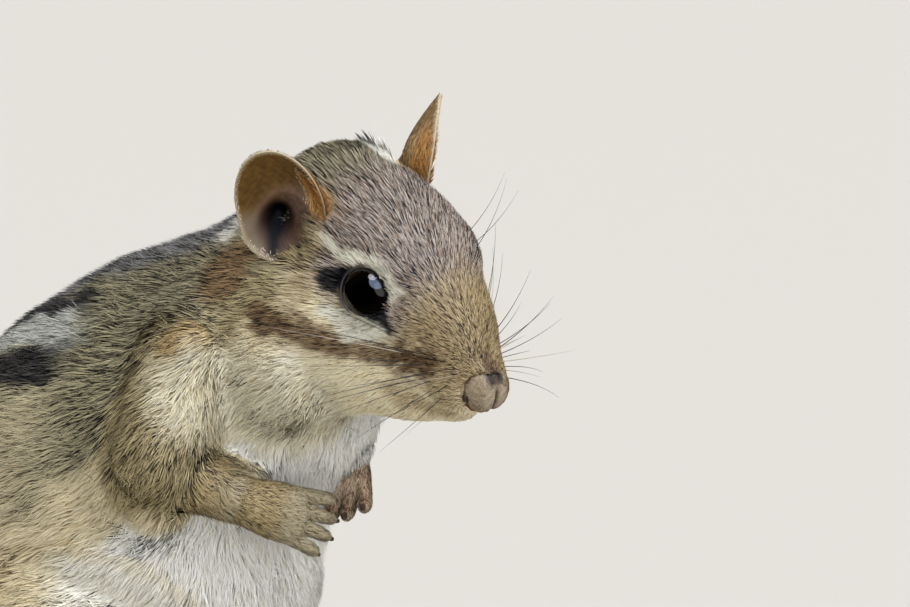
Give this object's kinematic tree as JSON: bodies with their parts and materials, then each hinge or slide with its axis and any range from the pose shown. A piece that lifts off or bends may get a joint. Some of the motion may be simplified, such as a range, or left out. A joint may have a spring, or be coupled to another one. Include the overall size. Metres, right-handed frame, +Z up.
{
  "type": "chipmunk_figure",
  "caption": "Life-size still model of an eastern chipmunk sitting up on its haunches with its forepaws held together at its chest",
  "frame": {"origin": "middle of the bounding box in plan, at the level of the floor it sits on", "axes": "+X is where the body faces, with the tail laid out behind toward -X; +Y is the animal's left side; +Z is up"},
  "size_m": [0.194, 0.0554, 0.0971],
  "materials": {
    "coat": "short ticked fur, grey-brown above, ochre on the sides, cream below, with black and white stripes along the back",
    "tail_coat": "longer fur, dark brown above with frosted edges, rufous below",
    "ear": "thin skin with a fine orange-brown down and a pale rim",
    "paw": "short buff hair over skin, with small dark claws",
    "nose": "bare skin, matt",
    "eye": "wet black gloss"
  },
  "bodies": {
    "root": {"head": "coat", "nose": "nose", "eye_left": "eye", "eye_right": "eye", "ear_left": "ear", "ear_right": "ear", "neck": "coat", "chest": "coat", "belly": "coat", "hips": "coat", "upper_arm_left": "coat", "forearm_left": "coat", "hand_left": "paw", "leg_left": "coat", "foot_left": "paw", "upper_arm_right": "coat", "forearm_right": "coat", "hand_right": "paw", "leg_right": "coat", "foot_right": "paw", "tail_base": "tail_coat", "tail_middle": "tail_coat", "tail_end": "tail_coat"}
  },
  "joints": []
}
